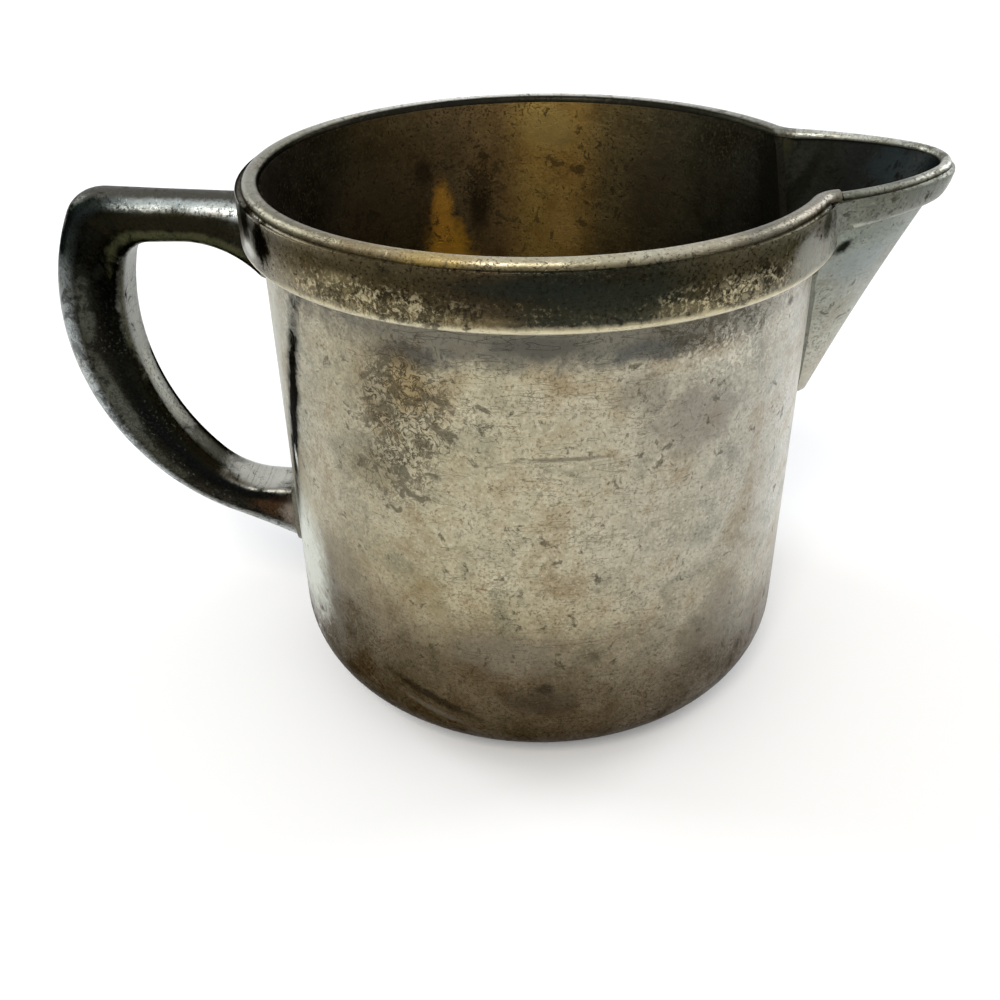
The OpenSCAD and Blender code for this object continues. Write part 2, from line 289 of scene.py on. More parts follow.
TURNS = 288
BASE_RADII = (10, 20)
TURN_STEPS = 16
WALL_STEPS = 48
INSIDE_STEPS = 32
SPOUT_SIDE = 0.85
FACES_OUT = 0.5
FACES_DOWN = -0.3
CUT_FOOT = BLUNT_FOOT + FOOT_PLATE
inside = WALL_RADIUS - WALL
bend = WALL_RADIUS - BASE_TURN
rings = []
for j in range(TURNS):
    turn = 2 * pi * (j + 0.5) / TURNS
    c, s = cos(turn), sin(turn)
    tops = [SEAT, SEAT]
    if c > SPOUT_SIDE:
        # The cut in the wall: a V with a level foot, where the spout's foot closes against it
        tops = [min(SEAT, max(CUT_FOOT, cone_height(r * c, r * s, LIFT))) for r in (WALL_RADIUS, inside)]
    profile = [(0, 0)] + [(r, 0) for r in BASE_RADII] + [(bend, 0)]
    for i in range(1, TURN_STEPS + 1):
        a = pi / 2 * i / TURN_STEPS
        profile.append((bend + BASE_TURN * sin(a), BASE_TURN - BASE_TURN * cos(a)))
    for i in range(1, WALL_STEPS + 1):
        profile.append((WALL_RADIUS, BASE_TURN + (tops[0] - BASE_TURN) * i / WALL_STEPS))
    for i in range(INSIDE_STEPS, 0, -1):
        profile.append((inside, BASE_TURN + (tops[1] - BASE_TURN) * i / INSIDE_STEPS))
    for i in range(TURN_STEPS, -1, -1):
        a = pi / 2 * i / TURN_STEPS
        out = bend + (BASE_TURN - WALL) * sin(a)
        profile.append((out, BASE_TURN - (BASE_TURN - FLOOR) * cos(a)))
    profile += [(r, FLOOR) for r in reversed(BASE_RADII)] + [(0, FLOOR)]
    rings.append([(r * c, r * s, z) for r, z in profile])
rings.append(rings[0])
cup = grid_mesh("cup", rings, closed=False, caps=False)


# What the years do to silver plate, used for every piece: tones that drift round the piece and
# up it, ragged patches of tarnish, blotches of sulphide, pits, rubbed specks and fine scratches.
# The tones, the shade up the piece and the ragged patches also carry painted highlights,
# painted reflections and painted shade. Sizes of the patterns are in mm.
CLOUD = 9.0
MOTTLE = 2.4
GRAIN = 0.42
PATCH = 7.0
CRACKLE = 1.4
HANDLE_GIRTH = 14.0
PATCH_SHIFT = (40.0, 70.0, 20.0)
BROWN, GREY = "b89a68", "a8b0ae"
# Each set of scratches has a slant in degrees, a length, and a shift of its own
SCRATCHES = ((8, 9.0, 3.0), (-42, 6.0, 11.0), (66, 7.0, 23.0))
SCRATCH_GAP = 1.4
# The commonest kinds of node, and settings that several share: three ways to lay one colour
# over another, and a soft edge
MATH, MIX, MAP_RANGE, NOISE = "ShaderNodeMath", "ShaderNodeMix", "ShaderNodeMapRange", "ShaderNodeTexNoise"
COVERED = {"data_type": "RGBA"}
TINTED = {"data_type": "RGBA", "blend_type": "MULTIPLY"}
SOFTLY = {"data_type": "RGBA", "blend_type": "SOFT_LIGHT"}
SMOOTH = {"interpolation_type": "SMOOTHSTEP"}


def aged_silver_and_painted_light(
    name, where, tones, fall, stains_and_painted_light, blotches, flakes=(), inner=None,
    clouds=0.5, wear=0.4, pitted=0.6, scored=0.3, patches=0.35,
    rough=0.3, relief=0.00008, slope=0.0, dark="3c3526", pale="e2dcc8",
):
    """A worn silver-plate material, with painted highlights, reflections and shade laid into its colour.

    where     gives the pattern's own map: "round" is degrees round the cup and height in mm,
              "along" is the piece's own attributes: share across it and mm along it
    tones     stops of the metal's tone along the first of the two
    fall      stops of a tone that multiplies it along the second, with the range they cover,
              how much the clouds make it waver, and how much it tilts round the piece
    stains    (first, second, half size, half size, tone, strength) of each ragged patch, tarnish
              and painted highlights, reflections and shadows alike, and a turn in degrees where it
              lies slanting
    blotches  (first, second, half size, half size, strength) of each mottled area, weakest first
    flakes    the same for areas where the tarnish has flaked off in pale crumbs
    clouds, wear, pitted, scored, patches  how strongly the clouds, rubbed specks, pits, hair
              scratches and brown or grey patches show
    rough     roughness of the clean metal; relief is the depth of the bump in metres
    dark, pale  the colours of thick tarnish and of rubbed metal
    slope     how much the height's pattern climbs for each mm toward the spout's tip
    inner     (radius, radius, shift, tone) of painted shade along the inner side, from the first
              radius to the second, and further out by the shift at the side that is turned to +Y
    """
    made = bpy.data.materials.new(name)
    made.use_nodes = True
    tree = made.node_tree
    tree.nodes.clear()
    place = add(tree, "ShaderNodeTexCoord").outputs["Object"]
    place = add(tree, "ShaderNodeVectorMath", "SCALE", i0=place, Scale=1000.0)
    parts = add(tree, "ShaderNodeSeparateXYZ", Vector=place)
    if where == "round":
        turn = add(tree, MATH, "ARCTAN2", i0=parts.outputs["Y"], i1=parts.outputs["X"])
        first = add(tree, MATH, "DEGREES", i0=turn)
        second = parts.outputs["Z"]
        low, high = -180.0, 180.0
        if slope:
            second = add(tree, MATH, "MULTIPLY_ADD", i0=parts.outputs["X"], i1=-slope, i2=second)
        plain = add(tree, MATH, "MULTIPLY", i0=first, i1=pi * WALL_RADIUS / 180)
    else:
        first = add(tree, "ShaderNodeAttribute", {"attribute_name": "across"}).outputs["Fac"]
        second = add(tree, "ShaderNodeAttribute", {"attribute_name": "along"}).outputs["Fac"]
        low, high = 0.0, 1.0
        plain = add(tree, MATH, "MULTIPLY", i0=first, i1=HANDLE_GIRTH)
    chart = add(tree, "ShaderNodeCombineXYZ", X=first, Y=second)
    flat = add(tree, "ShaderNodeCombineXYZ", X=plain, Y=second)

    # Drifting clouds, sulphide mottling and the grain of the plate
    cloud = add(tree, NOISE, Vector=place, Scale=1 / CLOUD, Detail=7.0, Roughness=0.66)
    mottle = add(tree, NOISE, Vector=place, Scale=1 / MOTTLE, Detail=8.0, Roughness=0.72, Distortion=0.6)
    grain = add(tree, NOISE, Vector=place, Scale=1 / GRAIN, Detail=3.0, Roughness=0.65)

    # The metal's tone, drifting round the piece, with the clouds and the fine mottling in it
    spot = add(tree, MAP_RANGE, Value=first, From_Min=low, From_Max=high)
    stops = [((at - low) / (high - low), tone) for at, tone in tones]
    colour = add(tree, "ShaderNodeValToRGB", {"stops": stops}, Fac=spot)
    for amount, pattern in ((clouds, cloud), (clouds, mottle), (clouds * 1.1, grain)):
        colour = add(tree, MIX, SOFTLY, i0=amount, i6=colour, i7=pattern).outputs[2]

    # Brownish and greyish patches
    patch = add(tree, "ShaderNodeVectorMath", "ADD", i0=place, i1=PATCH_SHIFT)
    patch = add(tree, NOISE, Vector=patch, Scale=1 / PATCH, Detail=6.0, Roughness=0.68, Distortion=0.4)
    for edge, full, tint in ((0.5, 0.66, BROWN), (0.48, 0.34, GREY)):
        amount = add(tree, MAP_RANGE, Value=patch, From_Min=edge, From_Max=full, To_Max=patches)
        colour = add(tree, MIX, TINTED, i0=amount, i6=colour, i7=linear(tint)).outputs[2]

    # Rubbed specks and pits of under half a millimetre, crowded in some places
    uneven = add(tree, MATH, "MULTIPLY_ADD", i0=cloud, i1=-0.45, i2=grain)
    pits = add(tree, MAP_RANGE, Value=uneven, From_Min=0.19, From_Max=0.12, To_Max=pitted)
    specks = add(tree, MAP_RANGE, Value=uneven, From_Min=0.38, From_Max=0.5, To_Max=wear)
    colour = add(tree, MIX, COVERED, i0=pits, i6=colour, i7=linear(dark)).outputs[2]
    colour = add(tree, MIX, COVERED, i0=specks, i6=colour, i7=linear(pale)).outputs[2]

    # The shade up the piece, which reaches higher round one side where it tilts: tarnish on some
    # pieces, painted shade and painted reflection on others
    drift = add(tree, MATH, "MULTIPLY_ADD", i0=cloud, i1=fall["waver"], i2=second)
    if fall.get("tilt"):
        lean = add(tree, MATH, "ADD", i0=turn, i1=radians(10))
        lean = add(tree, MATH, "COSINE", i0=lean)
        drift = add(tree, MATH, "MULTIPLY_ADD", i0=lean, i1=fall["tilt"], i2=drift)
    start, stop = fall["range"]
    spot = add(tree, MAP_RANGE, Value=drift, From_Min=start, From_Max=stop)
    stops = [((at - start) / (stop - start), tone) for at, tone in fall["stops"]]
    shade = add(tree, "ShaderNodeValToRGB", {"stops": stops}, Fac=spot)
    colour = add(tree, MIX, TINTED, i0=1.0, i6=colour, i7=shade).outputs[2]

    # Ragged patches: tarnish, and painted highlights, painted reflections and painted shadows
    for at, up, wide, tall, tone, strength, *slant in stains_and_painted_light:
        local = add(
            tree, "ShaderNodeMapping", {"vector_type": "TEXTURE"}, Vector=chart,
            Location=(at, up, 0), Rotation=(0, 0, radians(sum(slant))), Scale=(wide, tall, 1),
        )
        far = add(tree, "ShaderNodeVectorMath", "LENGTH", i0=local).outputs["Value"]
        far = add(tree, MATH, "MULTIPLY_ADD", i0=mottle, i1=1.6, i2=far)
        mask = add(
            tree, MAP_RANGE, SMOOTH,
            Value=far, From_Min=2.0, From_Max=1.2, To_Max=strength,
        )
        colour = add(tree, MIX, COVERED, i0=mask, i6=colour, i7=linear(tone)).outputs[2]
    # Painted shade along the inner side, reaching further out on the side turned to +Y
    if inner:
        span = add(tree, "ShaderNodeCombineXYZ", X=parts.outputs["X"], Y=parts.outputs["Y"])
        span = add(tree, "ShaderNodeVectorMath", "LENGTH", i0=span).outputs["Value"]
        back = add(tree, MATH, "SINE", i0=turn)
        back = add(tree, MATH, "MAXIMUM", i0=back, i1=0.0)
        span = add(tree, MATH, "MULTIPLY_ADD", i0=back, i1=-inner[2], i2=span)
        mask = add(tree, MAP_RANGE, Value=span, From_Min=inner[1], From_Max=inner[0])
        colour = add(tree, MIX, COVERED, i0=mask, i6=colour, i7=linear(inner[3])).outputs[2]

    # Blotches of sulphide, thick in the blotched areas and sparse elsewhere, with a finer
    # crackle between them where they crowd, and flakes in their own areas
    crackle = add(tree, NOISE, Vector=place, Scale=1 / CRACKLE, Detail=5.0, Roughness=0.62, Distortion=0.9)
    crowds = []
    for areas in (blotches, flakes):
        crowd = 0.0
        for at, up, wide, tall, strength in areas:
            local = add(
                tree, "ShaderNodeMapping", {"vector_type": "TEXTURE"}, Vector=chart, Location=(at, up, 0),
                Scale=(wide, tall, 1),
            )
            far = add(tree, "ShaderNodeVectorMath", "LENGTH", i0=local).outputs["Value"]
            crowd = add(
                tree, MAP_RANGE, SMOOTH,
                Value=far, From_Min=1.2, From_Max=0.3, To_Min=crowd, To_Max=strength,
            )
        crowds.append(crowd)
    thick = add(tree, MATH, "MULTIPLY_ADD", i0=crowds[0], i1=0.13, i2=mottle)
    sulphide = add(tree, MAP_RANGE, SMOOTH, Value=thick, From_Min=0.59, From_Max=0.67, To_Max=0.7)
    net = add(tree, MATH, "SUBTRACT", i0=crackle, i1=0.5)
    net = add(tree, MATH, "ABSOLUTE", i0=net)
    net = add(tree, MAP_RANGE, Value=net, From_Min=0.05, From_Max=0.012)
    thickest = add(tree, MAP_RANGE, Value=crowds[0], From_Min=0.3, From_Max=0.9, To_Max=0.9)
    net = add(tree, MATH, "MULTIPLY", i0=net, i1=thickest)
    sulphide = add(tree, MATH, "MAXIMUM", i0=sulphide, i1=net)
    colour = add(tree, MIX, COVERED, i0=sulphide, i6=colour, i7=linear(dark)).outputs[2]
    if flakes:
        crumbs = add(tree, MATH, "MULTIPLY_ADD", i0=grain, i1=0.8, i2=crackle)
        crumbs = add(tree, MAP_RANGE, Value=crumbs, From_Min=0.92, From_Max=1.06)
        crumbs = add(tree, MATH, "MULTIPLY", i0=crumbs, i1=crowds[1])
        colour = add(tree, MIX, COVERED, i0=crumbs, i6=colour, i7=linear(pale)).outputs[2]

    # Hair scratches, a tenth of a millimetre wide and drawn about twice that so that they show
    scratches = 0.0
    for angle, length, seed in SCRATCHES:
        run = add(
            tree, "ShaderNodeMapping", Vector=flat,
            Location=(seed, seed, 0), Rotation=(0, 0, radians(angle)), Scale=(1 / length, 1 / SCRATCH_GAP, 1),
        )
        streak = add(tree, NOISE, {"noise_dimensions": "2D"}, Vector=run, Scale=1.0, Detail=1.0)
        off = add(tree, MATH, "SUBTRACT", i0=streak, i1=0.67)
        off = add(tree, MATH, "ABSOLUTE", i0=off)
        scratches = add(
            tree, MAP_RANGE, Value=off, From_Min=0.008, From_Max=0.002, To_Min=scratches, To_Max=scored,
        )
    colour = add(tree, MIX, COVERED, i0=scratches, i6=colour, i7=linear(dark)).outputs[2]

    # Tarnish is duller than bare silver, and pits and scratches are cut into it
    dull = add(tree, MATH, "MULTIPLY_ADD", i0=sulphide, i1=0.22, i2=rough)
    dull = add(tree, MATH, "MULTIPLY_ADD", i0=grain, i1=0.1, i2=dull)
    level = add(tree, MATH, "MULTIPLY_ADD", i0=pits, i1=-1.0, i2=mottle)
    level = add(tree, MATH, "MULTIPLY_ADD", i0=scratches, i1=-0.8, i2=level)
    level = add(tree, MATH, "MULTIPLY_ADD", i0=cloud, i1=2.0, i2=level)
    bump = add(tree, "ShaderNodeBump", Height=level, Strength=1.0, Distance=relief)
    # Thick tarnish stays dark at a grazing look, where bare silver turns white
    edge = add(tree, MAP_RANGE, Value=colour, From_Min=0.012, From_Max=0.11, To_Min=0.12)
    shader = add(
        tree, "ShaderNodeBsdfPrincipled", Base_Color=colour, Metallic=1.0, Roughness=dull, Normal=bump,
        Specular_Tint=edge,
    )
    add(tree, "ShaderNodeOutputMaterial", Surface=shader)
    return made


# Outside of the cup: khaki and grey tones and a dull ring under the collar, with painted light: a
# dark foot that is a painted reflection, pale painted reflections along both edges, and the
# handle's reflection painted as a dark stripe with a painted glint beside it
cup_outside = aged_silver_and_painted_light(
    "silver_plate_tarnished_outside_and_painted_light", "round",
    # Paler at -148 and -26 degrees: painted reflections along the wall's two edges
    tones=[
        (-180, "a09884"), (-148, "b8b4a0"), (-130, "a09880"), (-108, "aca48a"), (-88, "a8a088"),
        (-62, "aca694"), (-42, "aca89a"), (-26, "bcbab0"), (10, "b4ae9c"), (70, "a8a08c"), (130, "aea48c"),
        (180, "a09884"),
    ],
    # Darker toward the base, higher round the left: a painted dark reflection in the base's turn
    fall={"range": (0, 80), "waver": 14.0, "tilt": 5.0, "stops": [
        (6, "6c6052"), (16, "766a5c"), (26, "968c80"), (37, "f0ece4"), (46, "ffffff"), (80, "ffffff"),
    ]},
    stains_and_painted_light=[
        (-90, 67.0, 60, 4.0, "5e5b52", 0.85), (90, 66.5, 90, 3.2, "6a665c", 0.7),
        (-112, 64.0, 9, 1.8, "3e3e40", 0.8), (-68, 65.0, 12, 1.6, "484a48", 0.7),
        (-88, 66.5, 10, 1.6, "42423e", 0.6), (-118, 61.0, 12, 6, "6e6248", 0.4),
        (-113, 60.0, 5, 3.6, "927c50", 0.5), (-111, 30.0, 5, 4.0, "786842", 0.4),
        (-58, 55.0, 12, 5.5, "757066", 0.6), (-70, 60.0, 6, 3, "6c675c", 0.5),
        (-47, 24.0, 7, 6.0, "6e685c", 0.5), (-54, 20, 6, 4, "57503f", 0.5),
        (-135, 30.0, 9, 5.0, "70654e", 0.5), (-122, 47.0, 8, 3.0, "6e6448", 0.5),
        (-95, 22.0, 14, 4.0, "6c6458", 0.5), (-88, 14.0, 10, 3.0, "37312a", 0.5),
        (-111, 12.0, 12, 0.9, "241f18", 0.7, -12), (-112, 9.8, 9, 0.7, "6c665a", 0.3, -12),
        # At the left edge: pale painted reflections up the wall and over the foot, painted shade beside the
        # lower one, the handle's reflection painted as a slanting black stripe, and a painted glint
        (-154, 24.0, 14, 12.0, "ccd0c4", 0.95), (-139, 22.0, 3, 12.0, "5c5646", 0.5),
        (-159, 52.0, 4, 20.0, "bcbcae", 0.7, -26), (-149.6, 48.5, 3.4, 27.0, "25231b", 1.0, -26),
        (-152.5, 40.2, 1.1, 2.0, "f4f4ee", 0.9), (-33.4, 65.1, 1.6, 0.8, "3c3a34", 0.8),
        (-87.2, 16.2, 2.2, 1.2, "2c261e", 0.7), (-83.3, 52.0, 9, 0.35, "6c6656", 0.8),
        (60, 40, 30, 14, "7c705a", 0.5), (140, 30, 24, 12, "80745a", 0.5),
    ],
    blotches=[
        (-90, 40, 60, 40, 0.15), (100, 50, 40, 20, 0.6), (-55, 66, 20, 4, 0.8), (-60, 54, 12, 8, 0.35),
        (-118, 47, 14, 6, 0.7), (-114, 57, 14, 11, 1.0),
    ],
    flakes=[(-50, 62, 16, 5, 0.35)],
    pitted=0.25, wear=0.22, relief=0.00018, patches=0.5, clouds=0.6,
)
# Inside of the cup: brown to black, with ochre where the plate has worn through to the brass.
# The near black at both sides and the darkening toward the bottom are painted shade
cup_inside = aged_silver_and_painted_light(
    "silver_plate_stained_inside_and_painted_shade", "round",
    tones=[
        (-180, "2c2822"), (-90, "403a2e"), (0, "2a2822"), (30, "2a2820"), (45, "383628"), (60, "564e38"),
        (74, "74643f"), (81, "a8884a"), (92, "b49450"), (101, "826a42"), (112, "6e5c3e"), (135, "4c4028"),
        (150, "2e2a1e"), (180, "2c2822"),
    ],
    # Darker toward the bottom: painted shade
    fall={
        "range": (0, 80), "waver": 6.0,
        "stops": [(0, "8a8068"), (30, "c8bca0"), (60, "ffffff"), (80, "ffffff")],
    },
    stains_and_painted_light=[
        (115, 42, 11, 13, "b08a3e", 0.8), (116, 51, 7, 8, "e0a83a", 0.95), (117, 58, 3.4, 7, "d8a040", 0.9),
        # The near-black patches at 22 and -22 degrees: painted shade
        (22, 66, 7, 18, "1c1b15", 1.0), (-22, 66, 7, 18, "1c1b15", 1.0), (107, 59, 3.4, 5, "3c3020", 0.7),
        (122, 66, 3, 3, "2c241a", 0.7), (88, 72, 8, 4, "a89258", 0.6), (84, 55, 5, 3, "c09c58", 0.5),
        (60, 64, 10, 8, "4c4230", 0.6), (140, 62, 14, 8, "544630", 0.6),
    ],
    blotches=[(90, 62, 60, 14, 0.45), (150, 55, 30, 20, 0.6), (106, 62, 5, 6, 1.0)],
    dark="231d14", pale="b8a070", rough=0.52, wear=0.1, scored=0.15, clouds=0.8,
)
cup.data.materials.append(cup_outside)
cup.data.materials.append(cup_inside)
for face in cup.data.polygons:
    reach = hypot(face.center.x, face.center.y)
    outward = face.normal.x * face.center.x + face.normal.y * face.center.y
    is_outside = outward > FACES_OUT * reach or face.normal.z < FACES_DOWN
    face.material_index = 0 if is_outside else 1
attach(cup, "root")
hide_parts("body_cup")


# The collar: a thick band of the same metal soldered round the outside of the cup's top. Its
# lower edge is rounded, and a little cove runs along its top, beside the lip wire.
COLLAR_RADIUS = 40.1
COLLAR_BOTTOM = 68.6
COLLAR_TOP = 75.55
COLLAR_EDGE = 0.9
COLLAR_STEPS = 12
EDGE_STEPS = 8
ARRIS = [(40.06, 75.7), (39.98, 75.79)]
COVE = 0.4
COVE_MIDDLE = 39.58
COVE_INSIDE = 38.4
BACK_HEIGHT = 72.0
ROUND_STEPS = 300
WIDEST_CUT = 40.0
HALVINGS = 22
STRIP = 0.9
STRIP_LIFT = -STRIP / sin(keel_lean)


def wall_meets_cone(radius, z, lift):
    """Degrees round the cup at which the cone's side, at this height, comes out of this radius."""
    low, high = 0.0, WIDEST_CUT
    for _ in range(HALVINGS):
        middle = (low + high) / 2
        a = radians(middle)
        if cone_height(radius * cos(a), radius * sin(a), lift) < z:
            low = middle
        else:
            high = middle
    return high


profile = [(WALL_RADIUS + TOUCH, COLLAR_BOTTOM)]
edge_radius, edge_height = COLLAR_RADIUS - COLLAR_EDGE, COLLAR_BOTTOM + COLLAR_EDGE
for i in range(EDGE_STEPS + 1):
    a = radians(90 * i / EDGE_STEPS)
    profile.append((edge_radius + COLLAR_EDGE * sin(a), edge_height - COLLAR_EDGE * cos(a)))
for i in range(1, COLLAR_STEPS + 1):
    profile.append((COLLAR_RADIUS, edge_height + (COLLAR_TOP - edge_height) * i / COLLAR_STEPS))
profile += ARRIS
for i in range(EDGE_STEPS + 1):
    a = radians(-180 * i / EDGE_STEPS)
    profile.append((COVE_MIDDLE + COVE * cos(a), SEAT + COVE * sin(a)))
profile += [(COVE_INSIDE, SEAT), (WALL_RADIUS + TOUCH, SEAT), (WALL_RADIUS + TOUCH, BACK_HEIGHT)]
ends = [wall_meets_cone(r, z, STRIP_LIFT) for r, z in profile]
rings = []
for j in range(ROUND_STEPS + 1):
    ring = []
    for (r, z), end in zip(profile, ends):
        a = radians(end + (360 - 2 * end) * j / ROUND_STEPS)
        ring.append((r * cos(a), r * sin(a), z))
    rings.append(ring)
collar = grid_mesh("collar", rings, sharp=50)
# Silver near black on its swelled face, with brownish and pale lines of painted highlight along
# its rounded lower edge
band_silver = aged_silver_and_painted_light(
    "silver_plate_band_near_black_and_painted_highlight", "round",
    tones=[
        (-180, "625f52"), (-146, "8a877a"), (-132, "766e5a"), (-115, "5e5641"), (-98, "4a4234"),
        (-88, "32332c"), (-70, "3a3b32"), (-60, "5c5644"), (-40, "6c6a5c"), (-26, "84857a"), (0, "6e7068"),
        (30, "75746a"), (90, "4a4438"), (180, "625f52"),
    ],
    fall={"range": (68, 77), "waver": 1.4, "stops": [
        (68.0, "ffffff"), (69.4, "ffffff"), (70.2, "ffffff"), (71.6, "ece4d4"), (73.6, "b4ac9c"),
        (75.2, "a09c92"), (76.5, "c0bcb2"),
    ]},
    stains_and_painted_light=[
        # Lines of painted highlight along the rounded lower edge, all the way round
        (-90, 69.2, 100, 0.7, "a0977c", 0.8), (-90, 69.1, 100, 0.42, "c8be9c", 0.9),
        (-90, 69.0, 100, 0.2, "dcd8c8", 0.6), (90, 68.9, 95, 0.75, "b0a88c", 0.8),
        (-113, 70.6, 14, 1.2, "8c8060", 0.5), (-100, 70.2, 9, 0.8, "8c7c58", 0.25),
        (-128, 71.5, 8, 1.4, "7c7354", 0.2), (-122, 72.5, 5, 1.2, "92875f", 0.2),
        (-76, 72.6, 14, 2.2, "24261f", 0.7), (-90, 74.0, 12, 1.4, "1f221d", 0.7),
        (-62, 70.6, 10, 0.9, "8c8060", 0.25), (-54, 71.2, 9, 1.6, "968c70", 0.5),
        (-36, 72.0, 6, 3.0, "7c7c70", 0.5), (-29.8, 74.4, 2.4, 2.0, "34352d", 0.7),
        (-153, 75.0, 4, 3, "181913", 0.8), (-144.5, 73.0, 4.5, 3.4, "14130f", 0.9),
        (-151.8, 71.0, 4.2, 1.0, "c8c8bc", 0.95),
    ],
    blotches=[(100, 72, 60, 4, 0.6), (-98, 73, 10, 2, 0.5), (-113, 71, 22, 3, 0.8), (-54, 71.5, 14, 3, 0.9)],
    flakes=[(-119, 71.1, 22, 2.6, 0.55), (-56, 71.0, 17, 2.4, 0.65)],
    dark="1e1c16", pale="c4b894", rough=0.26, wear=0.18,
)
collar.data.materials.append(band_silver)
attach(collar, "root")
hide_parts("rim_band")


# The lip wires: half-round wire soldered along the top of the wall, and a second length
# along the spout's lip. They meet at each side of the spout, where a small notch shows.
SPOUT_WIRE_RADIUS = 0.75
TILT = tan(radians(2.6))
NOTCH = 0.35
FAR_JOINT_TURN = 0.05
SWELL = 14.0
STEPS_ROUND = 15


def half_round(name, marks, tilt, radius, metal, last_radius):
    """A half-round wire bent along the marks, made by a tree of nodes.

    It climbs by tilt for each mm toward the spout's tip, and swells to its last radius over
    the last SWELL of its length.
    """
    path_mesh = bpy.data.meshes.new(name)
    points = [(x * MM, y * MM, (SEAT + (x - lip_joint[0]) * tilt) * MM) for x, y, _ in marks]
    path_mesh.from_pydata(points, [(i, i + 1) for i in range(len(points) - 1)], [])
    girth = path_mesh.attributes.new("girth", "FLOAT", "POINT")
    for point, value in zip(points, girth.data):
        run = (Vector(point) - Vector(points[-1])).length / MM
        value.value = 1 + (last_radius / radius - 1) * max(0, 1 - run / SWELL) ** 2
    holder = bpy.data.objects.new(name + "_path", path_mesh)
    scene.collection.objects.link(holder)
    tree = bpy.data.node_groups.new(name, "GeometryNodeTree")
    tree.interface.new_socket("Path", in_out="INPUT", socket_type="NodeSocketGeometry")
    size = tree.interface.new_socket("Wire radius", in_out="INPUT", socket_type="NodeSocketFloat")
    steps = tree.interface.new_socket("Steps round", in_out="INPUT", socket_type="NodeSocketInt")
    tree.interface.new_socket("Wire", in_out="OUTPUT", socket_type="NodeSocketGeometry")
    start = add(tree, "NodeGroupInput")
    curve = add(tree, "GeometryNodeMeshToCurve", Mesh=start.outputs["Path"])
    upright = add(tree, "GeometryNodeSetCurveNormal", {"mode": "Z_UP"}, Curve=curve)
    thick = add(tree, "GeometryNodeInputNamedAttribute", {"data_type": "FLOAT"}, Name="girth")
    half = add(
        tree, "GeometryNodeCurveArc", {"mode": "RADIUS"},
        Resolution=start.outputs["Steps round"], Radius=start.outputs["Wire radius"], Start_Angle=pi,
        Sweep_Angle=pi,
    )
    closed = add(tree, "GeometryNodeSetSplineCyclic", Geometry=half, Cyclic=True)
    wire = add(
        tree, "GeometryNodeCurveToMesh",
        Curve=upright, Profile_Curve=closed, Scale=thick, Fill_Caps=True,
    )
    real = add(tree, "GeometryNodeRealizeInstances", Geometry=wire)
    finish = add(tree, "GeometryNodeSetMaterial", Geometry=real)
    finish.inputs["Material"].default_value = metal
    add(tree, "NodeGroupOutput", Wire=finish)
    modifier = holder.modifiers.new("wire", "NODES")
    modifier.node_group = tree
    modifier[size.identifier] = radius * MM
    modifier[steps.identifier] = STEPS_ROUND
    made = bpy.data.meshes.new_from_object(holder.evaluated_get(bpy.context.evaluated_depsgraph_get()))
    bpy.data.objects.remove(holder)
    return finished(name, made, sharp=50)


# Silver rubbed by hands and cloths, pale and bright on top, with painted shade down its side
# beside the collar and along its inner side
lip_silver = dict(
    dark="38342a", pale="f2eee0", rough=0.26, clouds=0.5, wear=0.26, pitted=0.55, patches=0.4, relief=0.00008,
)
rubbed = aged_silver_and_painted_light(
    "silver_plate_rubbed_lip_and_painted_shade", "round",
    tones=[
        (-180, "787668"), (-150, "74715f"), (-128, "7c7560"), (-112, "9c8f70"), (-100, "b0a688"),
        (-72, "b4b09c"), (-56, "a09a88"), (-40, "8a8474"), (-30, "7c786c"), (30, "8c8c84"), (50, "a8a8a0"),
        (75, "d4d4ce"), (110, "e2e2dc"), (140, "b8b8ae"), (160, "8c8c80"), (180, "787668"),
    ],
    # Darker down its lower side beside the collar: painted shade
    fall={
        "range": (75, 78), "waver": 0.6,
        "stops": [(75.6, "4c4840"), (76.4, "a09a8c"), (77.0, "ffffff"), (78, "ffffff")],
    },
    stains_and_painted_light=[
        (-106, 76.6, 7, 1.6, "9c8240", 0.5), (-140, 76.4, 10, 1.5, "5c5846", 0.5),
        (-48, 76.6, 8, 1.2, "4c4a40", 0.6),
    ],
    blotches=[(-100, 76, 60, 3, 0.2), (100, 76, 80, 3, 0.3)],
    # Painted shade along the wire's inner side, wider on the far side
    inner=(37.05, 37.35, 0.35, "201f19"), **lip_silver,
)
# The same on the spout's lip, with a painted highlight along its far side and painted shade
# underneath
spout_lip_wear_and_painted_light = aged_silver_and_painted_light(
    "silver_plate_rubbed_spout_lip_and_painted_light", "round",
    # Pale from 8 to 16 degrees: a painted highlight along the far side
    tones=[
        (-180, "8c8c84"), (-22, "84857c"), (-12, "a4a59c"), (0, "9c9d94"), (8, "c0c2bc"), (16, "d4d6d0"),
        (24, "a8aaa4"), (180, "8c8c84"),
    ],
    # Dark underneath: painted shade under the lip
    fall={
        "range": (73.8, 75.4), "waver": 0.5,
        "stops": [(74.0, "2c2a24"), (74.5, "6c6a60"), (74.9, "e8e8e0"), (75.4, "ffffff")],
    },
    stains_and_painted_light=[(-14, 75.0, 3, 0.6, "4c4c44", 0.6), (-4, 75.0, 3, 0.6, "d8d8d0", 0.5)],
    blotches=[(0, 75, 30, 3, 0.6)],
    slope=TILT, **lip_silver,
)
sweep_marks = arc(sweep_middle, SWEEP, 180 + side_join, 180 + rim_join, steps=16)
rim_marks = arc((0, 0), WIRE_CIRCLE, rim_join, 360 - rim_join, steps=260)
wire_marks = sweep_marks + rim_marks[1:] + mirrored(sweep_marks)[1:]
rim_wire = half_round("lip_wire_round_rim", wire_marks, 0, WIRE_RADIUS, rubbed, WIRE_RADIUS)
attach(rim_wire, "root")
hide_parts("rim_wire")

